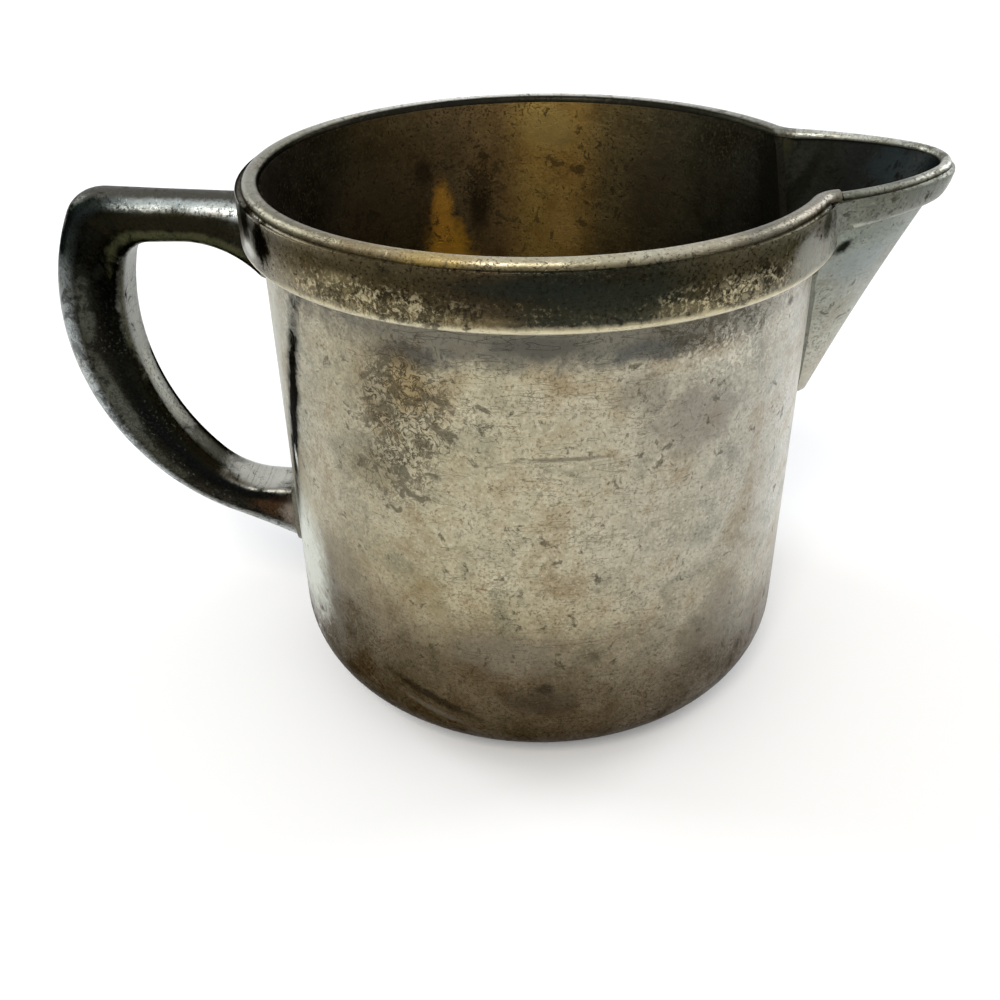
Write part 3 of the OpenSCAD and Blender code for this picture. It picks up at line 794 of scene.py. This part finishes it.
near_marks = arc(side_middle, SIDE, NOSE_TURN, side_join - degrees(NOTCH / SIDE), steps=40)
far_marks = arc(side_middle, SIDE, NOSE_TURN, side_join - FAR_JOINT_TURN, steps=40)
wire_marks = mirrored(near_marks) + nose_marks[1:] + far_marks[1:]
spout_wire = half_round(
    "lip_wire_round_spout", wire_marks, TILT, SPOUT_WIRE_RADIUS, spout_lip_wear_and_painted_light, WIRE_RADIUS,
)
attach(spout_wire, "root")
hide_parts("spout_lip_wire")


# The spout's sheet: one piece folded round into a V, narrowing downward to a blunt foot, and
# soldered into the cut in the wall. Its top edge is ground level under the lip wire.
KEEL_HOLLOW = 0.7
HOLLOW_TURN = 60
SHORTEST = 0.004
SHEET_STEPS = 28


def lip_ray(mark, point):
    """A ray of the cone toward a mark, and how far along it the seat of the lip wire lies."""
    ray = Vector((mark[0] - point.x, mark[1], RIM_HEIGHT - cone_point.z))
    return ray, (SEAT - point.z + (point.x - lip_joint[0]) * TILT) / (ray.z - ray.x * TILT)


def cone_ring(mark, steps):
    """Points up the outside of the sheet, down its inside and along its foot, at one mark."""
    sides = []
    foot_line = []
    seat_radius = WALL_RADIUS + TOUCH
    for lift, foot in ((0, BLUNT_FOOT), (LIFT, CUT_FOOT)):
        point = cone_point + Vector((0, 0, lift))
        ray, top = lip_ray(mark, point)
        a, b, c = ray.x**2 + ray.y**2, 2 * point.x * ray.x, point.x**2 - seat_radius**2
        low = (-b + sqrt(b * b - 4 * a * c)) / (2 * a)
        low = max(low, (foot - point.z) / ray.z)
        if low > top - SHORTEST:
            return None
        turn = 90 / HOLLOW_TURN * min(HOLLOW_TURN, abs(mark[2]))
        hollow = KEEL_HOLLOW * max(0.0, cos(radians(turn)))
        line = []
        for i in range(steps + 1):
            inward = Vector((hollow * sin(pi * i / steps), 0, 0))
            line.append(point + ray * (low + (top - low) * i / steps) - inward)
        sides.append(line)
        start = point + ray * low
        reach = seat_radius / hypot(start.x, start.y)
        foot_line.append(Vector((start.x * reach, start.y * reach, start.z)))
    return [tuple(p) for p in sides[0] + sides[1][::-1] + foot_line[::-1]]


rings = [ring for ring in (cone_ring(mark, SHEET_STEPS) for mark in outline) if ring]
sheet = grid_mesh("spout_sheet_folded", rings, sharp=45)
# Outside of the spout: paler and cleaner than the cup, greying toward its top
spout_outside = aged_silver_and_painted_light(
    "silver_plate_spout_outside", "round",
    tones=[
        (-180, "b0aca0"), (-30, "b4b2a6"), (-18, "b0b0a6"), (-6, "b0b0a8"), (0, "a8a8a0"), (8, "b0b0a8"),
        (30, "b4b2a6"), (180, "b0aca0"),
    ],
    fall={
        "range": (36, 78), "waver": 6.0,
        "stops": [
            (36, "fffaf0"), (48, "fffaf0"), (58, "ececE4"), (66, "ccd0d0"), (73, "b4bcb8"), (78, "a8aca6"),
        ],
    },
    stains_and_painted_light=[
        (-14, 50, 5, 6, "a89c80", 0.5), (-22, 60, 2, 4, "6a6a6c", 0.6), (-12, 66, 5, 3, "808a8a", 0.5),
        (-18, 47, 3, 3, "a09078", 0.4), (14, 56, 6, 8, "7c7868", 0.5),
        (-16.6, 68.7, 1.0, 1.3, "14140f", 0.95),
    ],
    blotches=[(-16, 54, 12, 10, 0.4), (15, 60, 12, 10, 0.6)],
    dark="44423a", pale="e0e0d4", rough=0.3, scored=0.2, wear=0.25, pitted=0.4,
)
# Inside of the spout: a dull black film of tarnish, hardly worn
spout_inside = aged_silver_and_painted_light(
    "silver_plate_spout_inside", "round",
    tones=[
        (-180, "20201c"), (-25, "22241f"), (0, "1e2120"), (12, "1d1f1d"), (18, "20211c"), (30, "1c1d17"),
        (180, "20201c"),
    ],
    fall={"range": (36, 78), "waver": 5.0, "stops": [(36, "a8a498"), (60, "dcdad0"), (78, "ffffff")]},
    stains_and_painted_light=[
        (8, 74, 3, 3, "222a2b", 0.5), (22, 72, 2, 6, "34321f", 0.6), (17, 68, 1.2, 8, "10100c", 0.8),
        (-12, 72, 5, 4, "24282a", 0.5),
    ],
    blotches=[(15, 70, 14, 8, 0.3)],
    dark="14130e", pale="4c4c42", rough=0.42, wear=0.12, scored=0.1, clouds=0.3, pitted=0.2,
)
sheet.data.materials.append(spout_outside)
sheet.data.materials.append(spout_inside)
for face in sheet.data.polygons:
    face.material_index = 1 if face.normal.z > 0 else 0
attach(sheet, "root")
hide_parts("spout_sheet")


# The strip: a narrow band with a swelled face, bent round the outside of the spout's top in
# line with the collar and soldered on.
STRIP_DROP = 4.2
NOSE_DROP = 1.2
END_DROP = 0.9
SHALLOWEST = 52
END_TURN = 24
END_SWELL = 0.72
STRIP_SKIP = 4
STRIP_FACE = [
    (0.0, 0.0), (0.02, 0.72), (0.08, 0.9), (0.3, 1.1), (0.5, 1.16), (0.64, 1.12), (0.76, 0.98), (0.86, 0.74),
    (0.94, 0.42), (0.99, 0.12), (1.0, 0.0),
]


def strip_ring(mark, before, after):
    """The strip's section at one mark, standing on the outside of the sheet."""
    turn = abs(mark[2])
    beyond = turn - SHALLOWEST
    drop = STRIP_DROP
    if beyond < 0:
        drop += NOSE_DROP * (beyond / SHALLOWEST) ** 2
    else:
        drop += END_DROP * min(1, beyond / END_TURN) ** 2
    swell = END_SWELL + (1 - END_SWELL) * cos(radians(min(turn, 90))) ** 2
    ray, top = lip_ray(mark, cone_point)
    tangent = Vector((after[0] - before[0], after[1] - before[1], 0))
    normal = tangent.cross(ray).normalized()
    if normal.x * cos(radians(mark[2])) + normal.y * sin(radians(mark[2])) < 0:
        normal = -normal
    down = -ray.normalized()
    start = cone_point + ray * top
    length = drop / abs(down.z)
    return [tuple(start + down * (length * s) + normal * (h * swell)) for s, h in STRIP_FACE]


marks = outline[STRIP_SKIP:-STRIP_SKIP]
rings = []
for i, mark in enumerate(marks):
    rings.append(strip_ring(mark, marks[max(i - 1, 0)], marks[min(i + 1, len(marks) - 1)]))
strip = grid_mesh("spout_strip", rings, sharp=60)
# Greyed silver: a middle grey face, with a pale painted highlight along its rounded lower edge
strip_silver = aged_silver_and_painted_light(
    "silver_plate_strip_greyed_and_painted_highlight", "round",
    tones=[
        (-180, "84867c"), (-22, "82827a"), (-14, "7a7c74"), (-6, "767870"), (0, "80827a"), (8, "767870"),
        (22, "84847a"), (180, "84867c"),
    ],
    # Lighter toward the lower edge: painted highlight
    fall={
        "range": (66, 76), "waver": 1.2,
        "stops": [(68, "ffffff"), (69.8, "ffffff"), (70.8, "dcdcd4"), (72.6, "d0d0c8"), (75, "c4c4bc")],
    },
    stains_and_painted_light=[
        # The first two: a painted highlight along the lower edge
        (-18, 69.8, 4, 0.8, "b0b0a0", 0.7), (-10, 69.8, 6, 0.6, "b0b0a2", 0.7),
        (-10, 72.8, 5, 1.2, "5c6058", 0.5), (-3, 72.5, 4, 1.4, "909284", 0.5), (12, 72, 6, 2, "6c6c5e", 0.5),
    ],
    blotches=[(-14, 72, 10, 3, 0.35), (12, 72, 10, 3, 0.6)],
    dark="33332a", pale="dcdccc", rough=0.28, wear=0.25, pitted=0.4, scored=0.2, slope=TILT,
)
strip.data.materials.append(strip_silver)
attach(strip, "root")
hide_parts("spout_band")


# The solder along the spout: a hollow fillet in each corner between the collar and the strip,
# and a thin dark seam down the corner between the wall and the sheet.
def cone_section(bearing, z, lift):
    """Point of the cone's side at this height, in this direction from the cone's axis."""
    reach = cone_reach(bearing)
    if reach is None:
        return None
    reach *= (z - cone_point.z - lift) / (RIM_HEIGHT - cone_point.z)
    return Vector((cone_point.x + reach * cos(bearing), reach * sin(bearing), z))


BURIED = 0.35
BEARING_STEP = 0.01
TOP_REACH = (1.7, 2.0)
SIDE_REACH = (0.6, 0.6)
TOP_FROM, TOP_HEIGHT, TOP_STEPS = 71.6, 4.1, 16
SIDE_GAP, SIDE_STEPS = 0.1, 40


def fillet(radius, lift, heights, back, out, side):
    """Rings of a hollow fillet between the cup's round side and the spout's flat side.

    It reaches back so far round the cup and out so far along the spout.
    """
    rings = []
    for z in heights:
        turn = radians(wall_meets_cone(radius, z, lift))
        corner = Vector((radius * cos(turn), radius * sin(turn), z))
        bearing = atan2(corner.y, corner.x - cone_point.x)
        far = corner
        while (far - corner).length < out and bearing > 2 * BEARING_STEP:
            bearing -= BEARING_STEP
            far = cone_section(bearing, z, lift) or far
        turn_back = turn + back / radius
        near = Vector((radius * cos(turn_back), radius * sin(turn_back), z))
        inward = Vector((-cos(turn), -sin(turn), 0)) * BURIED
        # The face is a curve from one edge to the other, drawn in toward the corner
        pull = corner * 0.8 + (near + far) * 0.1
        ring = []
        for i in range(EDGE_STEPS + 1):
            s = i / EDGE_STEPS
            ring.append((1 - s) ** 2 * near + 2 * s * (1 - s) * pull + s * s * far)
        ring = [near + inward] + ring + [far + inward, corner + inward]
        rings.append([(p.x, p.y * side, p.z) for p in ring])
    return rings


solder_pieces = []
side_height = COLLAR_BOTTOM - SIDE_GAP - BLUNT_FOOT
upper = [TOP_FROM + TOP_HEIGHT * i / TOP_STEPS for i in range(TOP_STEPS + 1)]
lower = [BLUNT_FOOT + side_height * i / SIDE_STEPS for i in range(SIDE_STEPS + 1)]
for side in (1, -1):
    solder_pieces.append(grid_mesh("fillet_top", fillet(COLLAR_RADIUS, STRIP_LIFT, upper, *TOP_REACH, side)))
    solder_pieces.append(grid_mesh("fillet_side", fillet(WALL_RADIUS, 0, lower, *SIDE_REACH, side)))


def joined(name, parts):
    """One object made of several, with their places kept in its mesh."""
    bm = bmesh.new()
    for part in parts:
        bm.from_mesh(part.data)
        bpy.data.objects.remove(part)
    mesh = bpy.data.meshes.new(name)
    bm.to_mesh(mesh)
    bm.free()
    return finished(name, mesh, sharp=50)


spout_solder = joined("solder_spout", solder_pieces)
# Soft solder: an even, dull grey that took no plate
grey_solder = aged_silver_and_painted_light(
    "soft_solder_greyed", "round",
    tones=[(-180, "8c8c84"), (0, "84867e"), (180, "8c8c84")],
    fall={
        "range": (0, 80), "waver": 4.0,
        "stops": [(0, "c0bcb0"), (40, "c8c4b8"), (66, "d8d8d0"), (80, "c0c0b8")],
    },
    stains_and_painted_light=[(20, 72, 4, 5, "3c3c36", 0.6)],
    blotches=[(0, 60, 60, 30, 0.2)],
    dark="23221c", pale="d0d0c8", rough=0.38, wear=0.2, pitted=0.3, scored=0.1,
)
spout_solder.data.materials.append(grey_solder)
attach(spout_solder, "root")
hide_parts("spout_solder")


# The handle: one solid casting, half round outside and flat with rounded edges on the
# finger's side. It spreads into a bracket under its upper arm and is soldered to the cup.
HANDLE_WIDTH = 8.2
HANDLE_FLAT = 4.4
ARM_RIDGE = 72.2
ARM_UNDERSIDE = 66.2
ARM_LENGTH = 24.0
ARM_RISE = 2.2
CROWN = HANDLE_WIDTH / 2
EDGE = (HANDLE_WIDTH - HANDLE_FLAT) / 2
BRACKET = 14.0
BRACKET_TURN = 50
CROWN_STEPS = 24
FOOT_STEPS = 8
TIP_STAND = 0.33
TIP_SUNK = 1.2
ROOT = (0.1, 0.15)
FINGER_SIDE = 0.8
EDGE_DULL = 0.04
# Runs of the crown's middle and of the finger's side: (0, length) or (radius, degrees)
crown_runs = [(0, ARM_LENGTH / cos(radians(ARM_RISE))), (1.7, 64.2), (31.4, 92.5)]
inner_runs = [(BRACKET, BRACKET_TURN), (0, 4.22), (4.45, 73.4), (33.5, 60.6), (11.9, 46)]


def walk(place, heading, runs):
    """Start places and headings of runs of (radius, turn) or (0, length), bending downward."""
    found = []
    for radius, amount in runs:
        found.append((place, heading))
        place = step_along(place, heading, radius, amount, 1)
        heading -= 0 if radius == 0 else amount
    found.append((place, heading))
    return found


def step_along(place, heading, radius, amount, share):
    """The place reached after a share of one run."""
    h = radians(heading)
    if radius == 0:
        return (place[0] + share * amount * cos(h), place[1] + share * amount * sin(h))
    g = radians(heading - share * amount)
    return (place[0] + radius * (sin(h) - sin(g)), place[1] - radius * (cos(h) - cos(g)))


crown_walk = walk((WALL_RADIUS - WALL, ARM_RIDGE - CROWN), ARM_RISE, crown_runs)
bracket_depth = BRACKET * (1 - cos(radians(BRACKET_TURN)))
bracket_tip = (WALL_RADIUS + TIP_STAND * CROWN, ARM_UNDERSIDE - bracket_depth)
inner_walk = walk(bracket_tip, BRACKET_TURN, inner_runs)


def crown_at(run, share):
    """A point of the ridge, at a share of one run."""
    place, heading = crown_walk[run]
    radius, amount = crown_runs[run]
    h = radians(heading - (0 if radius == 0 else share * amount))
    x, z = step_along(place, heading, radius, amount, share)
    return (x - CROWN * sin(h), z + CROWN * cos(h))


def inner_at(run, share):
    """A point of the finger's side, at a share of one run."""
    place, heading = inner_walk[run]
    return step_along(place, heading, *inner_runs[run], share)


def foot_of(place, heading):
    """Where the line from here, at this heading, meets the cup's wall."""
    h = radians(heading)
    run = place[0] - WALL_RADIUS - TOUCH
    return (place[0] - run, place[1] - run * tan(h))


# Sections of the casting, each between a point of the finger's side and one of the ridge.
# MATCHED tells which runs belong together: the finger side's run and its steps, then the
# ridge's run and the two shares of it between which it goes.
MATCHED = (
    (0, 14, 0, 0.04, 0.62),
    (1, 6, 0, 0.62, 1),
    (2, 14, 1, 0, 1),
    (3, 34, 2, 0, 0.78),
    (4, 16, 2, 0.78, 1),
)
crown_last = crown_at(2, 1.0)
pairs = [((bracket_tip[0] - TIP_SUNK, bracket_tip[1]), (WALL_RADIUS + ROOT[0], ARM_RIDGE + ROOT[1]))]
for inner_run, steps, crown_run, start, stop in MATCHED:
    for i in range(0 if inner_run == 0 else 1, steps + 1):
        share = i / steps
        pairs.append((inner_at(inner_run, share), crown_at(crown_run, start + (stop - start) * share)))
inner_foot, crown_foot = foot_of(*inner_walk[-1]), foot_of(crown_last, crown_walk[-1][1])
ends = ((inner_walk[-1][0], inner_foot), (crown_last, crown_foot))
for i in range(1, FOOT_STEPS + 1):
    pair = [tuple(a + (b - a) * i / FOOT_STEPS for a, b in zip(start, end)) for start, end in ends]
    pairs.append(tuple(pair))


def handle_ring(inner, ridge, grow=0.0):
    """One closed section of the handle between the finger's side and the ridge, in mm."""
    inner, ridge = Vector(inner), Vector(ridge)
    across = (ridge - inner).normalized()
    ring = []
    for i in range(CROWN_STEPS + 1):
        a = radians(90 - 180 * i / CROWN_STEPS)
        p = ridge - across * CROWN + across * ((CROWN + grow) * cos(a))
        ring.append((-p.x, (CROWN + grow) * sin(a), p.y))
    edge = EDGE + grow
    for sign in (-1, 1):
        for i in range(EDGE_STEPS + 1):
            share = i / EDGE_STEPS
            a = radians(90 * share if sign < 0 else 90 - 90 * share)
            p = inner + across * EDGE - across * (edge * sin(a))
            ring.append((-p.x, sign * (HANDLE_FLAT / 2 + edge * cos(a)), p.y))
        if sign < 0:
            ring += [(-p.x, HANDLE_FLAT * k / 6, p.y) for k in (-2, -1, 0, 1, 2)]
    return ring


rings = [handle_ring(*pair) for pair in pairs]
handle = grid_mesh("handle_casting", rings, sharp=60)
# Each point of the casting knows its share across from ridge to finger side, and its mm along
across = handle.data.attributes.new("across", "FLOAT", "POINT")
along = handle.data.attributes.new("along", "FLOAT", "POINT")
centres = [sum((Vector(p) for p in ring), Vector()) / len(ring) for ring in rings]
runs = [0.0]
for a, b in zip(centres, centres[1:]):
    runs.append(runs[-1] + (b - a).length)
nearest = KDTree(sum(len(ring) for ring in rings))
for i, ring in enumerate(rings):
    for j, point in enumerate(ring):
        nearest.insert(Vector(point) * MM, i * len(ring) + j)
nearest.balance()
for vertex in handle.data.vertices:
    _, index, _ = nearest.find(vertex.co)
    i, j = divmod(index, len(rings[0]))
    inner, ridge = (Vector((-pairs[i][k][0], 0, pairs[i][k][1])) for k in (0, 1))
    share = (Vector(rings[i][j]) - ridge).dot(inner - ridge) / (inner - ridge).length_squared
    # The finger's side is pale along its middle, and counts as less across at its edges
    beside = min(1, abs(rings[i][j][1]) / (HANDLE_FLAT / 2)) ** 2
    near_finger = max(0, (share - FINGER_SIDE) / (1 - FINGER_SIDE))
    across.data[vertex.index].value = share - EDGE_DULL * beside * near_finger
    along.data[vertex.index].value = runs[i]
# Cast and plated: a painted highlight along the ridge's upper side, black down the sides, pale
# along the finger's side
handle_silver = aged_silver_and_painted_light(
    "cast_nickel_silver_plate_worn_and_painted_highlight", "along",
    # From 0.1 to 0.27 across: a painted highlight along the ridge's upper side
    tones=[
        (0.0, "9a9e9a"), (0.1, "a8b0b0"), (0.2, "b0b8b8"), (0.27, "8c9090"), (0.35, "34332c"),
        (0.6, "1e1d17"), (0.74, "0d0d0b"), (0.88, "13130e"), (0.96, "24241c"), (1.0, "9a9b90"),
    ],
    fall={"range": (0, 90), "waver": 10.0, "stops": [
        (0, "a8a090"), (10, "ffffff"), (20, "f0f0ec"), (25, "404440"), (29, "303434"), (34, "444844"),
        (41, "b0b0ac"), (50, "ffffff"), (90, "f0ece8"),
    ]},
    stains_and_painted_light=[
        (0.52, 12, 0.3, 15, "1c1a10", 0.9), (0.8, 12, 0.12, 16, "44442f", 0.7),
        (0.97, 10, 0.1, 13, "5c5c46", 0.8), (0.02, 12, 0.1, 18, "4c4b44", 1.0),
        (0.45, 36, 0.14, 6, "4a4c43", 0.7), (0.45, 51, 0.16, 9, "52544b", 0.7),
        (0.42, 62, 0.12, 6, "44443a", 0.6), (1.0, 31, 0.1, 14, "84867c", 0.7),
        # At 75 mm along the finger's side: a painted highlight
        (1.0, 67, 0.14, 13, "23221a", 0.8), (1.0, 75, 0.14, 8, "c8c8c0", 0.7),
        (0.6, 81, 0.24, 5, "44301f", 0.8), (0.55, 84.5, 0.3, 3.5, "8a8074", 0.7),
        (0.78, 66, 0.12, 20, "0e0f0f", 0.85),
    ],
    blotches=[(0.4, 45, 0.6, 40, 0.6), (0.4, 70, 0.6, 20, 0.7)],
    dark="161612", pale="e0e4e2", rough=0.24, wear=0.08, pitted=0.5, scored=0.35,
)
handle.data.materials.append(handle_silver)
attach(handle, "root")
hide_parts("handle")


# The solder at the handle's two ends: a low collar of grey metal round each joint, smeared
# out on the wall, with a pale drop at the bracket's tip.
def joint_ring(inner, ridge, stand, grow):
    """A ring round the handle's end, pressed on to the cup's round wall."""
    points = []
    for x, y, z in handle_ring(inner, ridge, grow):
        turn = atan2(y, x)
        radius = WALL_RADIUS + stand
        points.append((radius * cos(turn), radius * sin(turn), z))
    return points


# How far each ring stands off the wall, and how far it stands out from the handle
LOWER_FLARE = ((0.02, 0.9), (0.12, 0.8), (0.3, 0.5), (0.7, 0.25), (1.2, 0.06), (1.3, -0.2))
UPPER_FLARE = ((0.02, 0.8), (0.15, 0.7), (0.4, 0.45), (0.9, 0.2), (1.3, 0.05), (1.4, -0.2))
lower = [joint_ring(inner_foot, crown_foot, stand, grow) for stand, grow in LOWER_FLARE]
lower_solder = grid_mesh("solder_handle_foot", lower, sharp=60)
lower_solder.data.materials.append(grey_solder)
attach(lower_solder, "root")
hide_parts("handle_lower_solder")

BLOB_TIP = (0.3, 0.1)
BLOB_TOP = (0.1, 1.2)
tip = (bracket_tip[0] - BLOB_TIP[0], bracket_tip[1] - BLOB_TIP[1])
under_collar = (WALL_RADIUS + BLOB_TOP[0], COLLAR_BOTTOM - BLOB_TOP[1])
upper = [joint_ring(tip, under_collar, stand, grow) for stand, grow in UPPER_FLARE]
upper_solder = grid_mesh("solder_handle_bracket", upper, sharp=60)
upper_solder.data.materials.append(grey_solder)
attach(upper_solder, "root")
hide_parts("handle_upper_solder")
